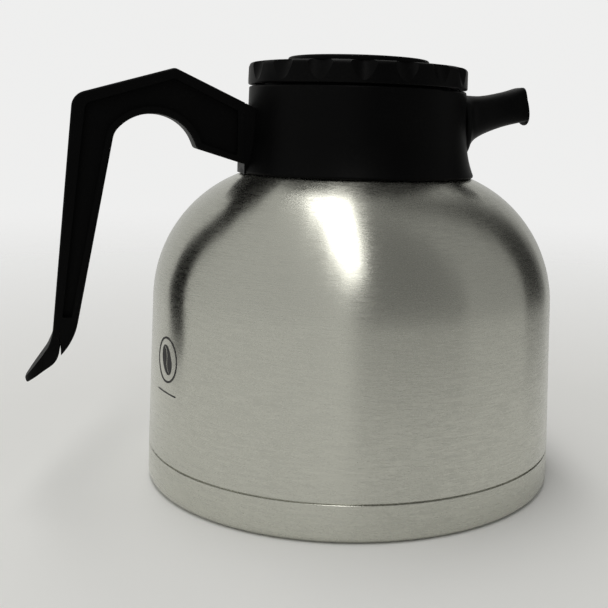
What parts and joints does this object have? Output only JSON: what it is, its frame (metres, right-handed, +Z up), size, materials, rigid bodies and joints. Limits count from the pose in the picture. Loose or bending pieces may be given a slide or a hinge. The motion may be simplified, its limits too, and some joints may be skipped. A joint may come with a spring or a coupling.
{
  "type": "thermal coffee airpot",
  "caption": "Low vacuum-insulated coffee carafe with a brew-through twist lid, a pouring spout and an open-ended loop handle.",
  "frame": {"origin": "centre of the standing ring, on the surface the carafe stands on", "axes": "+Z up along the vessel's axis, +X towards the spout, the handle on the -X side"},
  "size_m": [0.218, 0.17, 0.1747],
  "materials": {
    "satin_steel": "satin, brushed around the body",
    "liner_steel": "spun, slightly glossier than the outside",
    "solder": "dull",
    "getter_alloy": "dull",
    "screw_steel": "bright",
    "black_collar": "low sheen moulding",
    "black_insert": "low sheen moulding",
    "black_handle": "fine texture, matt",
    "black_lid": "low sheen moulding",
    "black_funnel": "low sheen moulding",
    "black_stopper": "low sheen moulding",
    "silicone": "matt silicone",
    "float_plastic": "natural polypropylene"
  },
  "bodies": {
    "vessel": {"outer_shell": "satin_steel", "inner_liner": "liner_steel", "liner_bottom": "liner_steel", "bottom_cup": "satin_steel", "vacuum_base": "liner_steel", "evacuation_seal": "solder", "getter": "getter_alloy", "collar_shroud": "black_collar", "throat_insert": "black_insert", "neck_gasket": "silicone", "shoulder_gasket": "silicone", "handle": "black_handle", "handle_screw_1": "screw_steel", "handle_screw_2": "screw_steel"},
    "lid_seals": {"seal_ring_1": "silicone", "seal_ring_2": "silicone"},
    "lid": {"lid_cap": "black_lid", "brew_funnel": "black_funnel", "funnel_gasket": "silicone", "stopper_body": "black_stopper", "valve_cage": "black_stopper", "lid_screw_1": "screw_steel", "lid_screw_2": "screw_steel", "lid_screw_3": "screw_steel"},
    "float": {"float_ball": "float_plastic"}
  },
  "joints": [
    {"name": "lid_lift", "type": "slide", "parent": "vessel", "child": "lid_seals", "axis": [0, 0, 1], "range_m": [0, 0.06]},
    {"name": "lid_turn", "type": "hinge", "parent": "lid_seals", "child": "lid", "pos_m": [0, 0, 0.165], "axis": [0, 0, 1], "range_deg": [-84, 0]},
    {"name": "float_rise", "type": "slide", "parent": "lid", "child": "float", "axis": [0, 0, 1], "range_m": [0, 0.0084]}
  ]
}
